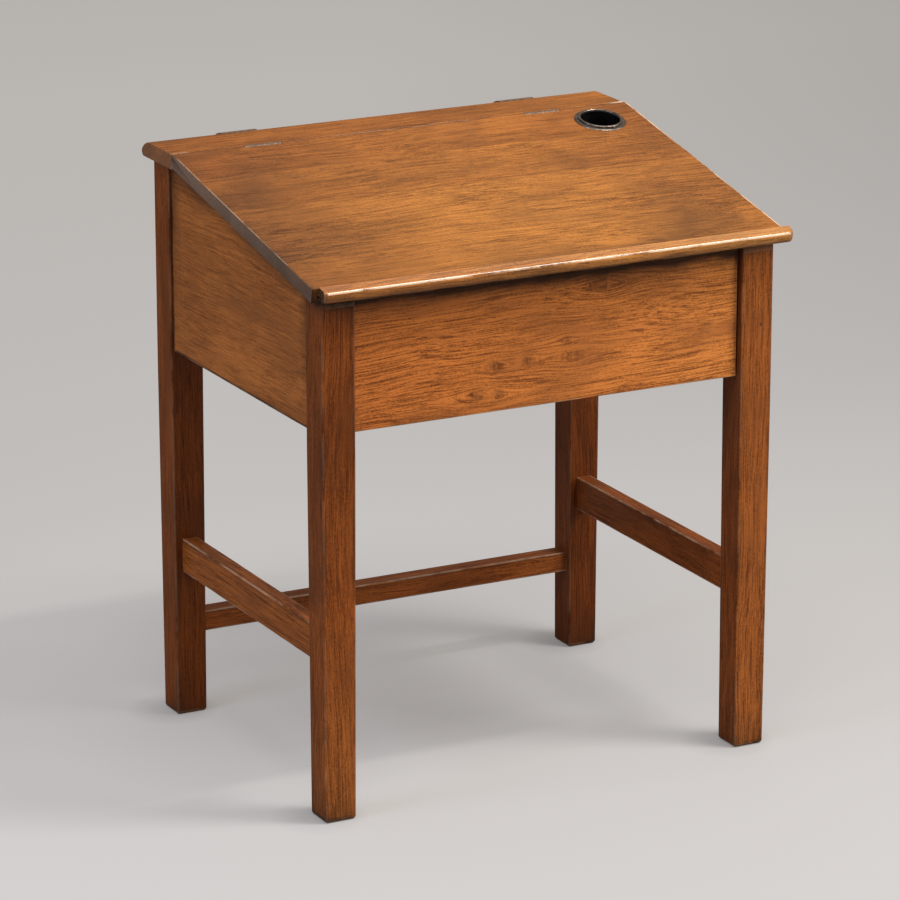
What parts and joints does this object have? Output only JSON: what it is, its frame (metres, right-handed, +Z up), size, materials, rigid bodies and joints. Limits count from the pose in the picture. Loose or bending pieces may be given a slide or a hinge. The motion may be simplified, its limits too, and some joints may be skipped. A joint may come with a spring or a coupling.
{
  "type": "school desk",
  "caption": "Free-standing wooden school desk: tapered square legs, panelled storage box, sloping lid hinged to a fixed rear ledge, stretchers, and an inkwell set into the lid",
  "frame": {"origin": "middle of the bottom of the bounding box, on the floor", "axes": "+X to the sitter's right, +Y to the back of the desk, +Z up"},
  "size_m": [0.631, 0.4936, 0.7318],
  "materials": {
    "oak": "brown stain under worn satin varnish",
    "hinge_steel": "dull worn steel",
    "inkwell_metal": "dark bronzed, worn at the rim"
  },
  "bodies": {
    "carcass": {"leg_front_left": "oak", "leg_front_right": "oak", "leg_rear_left": "oak", "leg_rear_right": "oak", "front_apron": "oak", "back_panel": "oak", "side_panel_left": "oak", "side_panel_right": "oak", "stretcher_left": "oak", "stretcher_right": "oak", "stretcher_rear": "oak", "box_bottom": "oak", "bottom_cleat_front": "oak", "bottom_cleat_back": "oak", "bottom_cleat_left": "oak", "bottom_cleat_right": "oak", "rear_ledge": "oak", "hinge_strap_left": "hinge_steel", "hinge_strap_right": "hinge_steel", "hinge_pin_left": "hinge_steel", "hinge_pin_right": "hinge_steel"},
    "lid": {"lid_board_rear": "oak", "lid_board_middle": "oak", "lid_board_front": "oak", "lid_nosing": "oak", "lid_batten_left": "oak", "lid_batten_right": "oak", "hinge_flap_left": "hinge_steel", "hinge_flap_right": "hinge_steel", "inkwell_collar": "inkwell_metal", "inkwell_cup": "inkwell_metal"}
  },
  "joints": [
    {"name": "lid_hinge", "type": "hinge", "parent": "carcass", "child": "lid", "pos_m": [0, 0.15397, 0.7274], "axis": [-1, 0, 0], "range_deg": [0, 108]}
  ]
}
